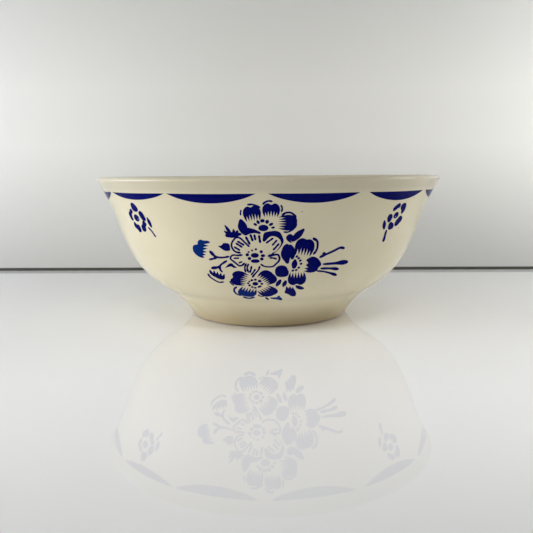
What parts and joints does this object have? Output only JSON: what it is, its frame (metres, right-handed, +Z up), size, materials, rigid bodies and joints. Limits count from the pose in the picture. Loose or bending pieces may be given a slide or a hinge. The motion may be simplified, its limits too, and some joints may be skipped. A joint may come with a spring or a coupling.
{
  "type": "serving bowl",
  "caption": "Round glazed earthenware serving bowl with a flared lip, a low foot ring and blue stencilled flowers and border.",
  "frame": {"origin": "on the table under the centre of the foot ring", "axes": "+Z up along the bowl's axis of turning; -Y towards the middle of the front bunch of flowers"},
  "size_m": [0.24, 0.2398, 0.0985],
  "materials": {
    "clay": "bare fired clay, matt, seen only on the wiped standing ring",
    "glaze": "glossy ivory glaze with faint waviness and a few dark specks",
    "blue_colour": "cobalt blue colour under gloss, sprayed through a stencil"
  },
  "bodies": {
    "root": {"bowl_body": "clay", "glaze_coat": "glaze", "foot_recess_glaze": "glaze", "swag_01": "blue_colour", "swag_02": "blue_colour", "swag_03": "blue_colour", "swag_04": "blue_colour", "swag_05": "blue_colour", "swag_06": "blue_colour", "swag_07": "blue_colour", "swag_08": "blue_colour", "swag_09": "blue_colour", "swag_10": "blue_colour", "swag_11": "blue_colour", "swag_12": "blue_colour", "bouquet_1": "blue_colour", "bouquet_2": "blue_colour", "sprig_1": "blue_colour", "sprig_2": "blue_colour", "sprig_3": "blue_colour", "sprig_4": "blue_colour", "sprig_5": "blue_colour", "sprig_6": "blue_colour"}
  },
  "joints": []
}
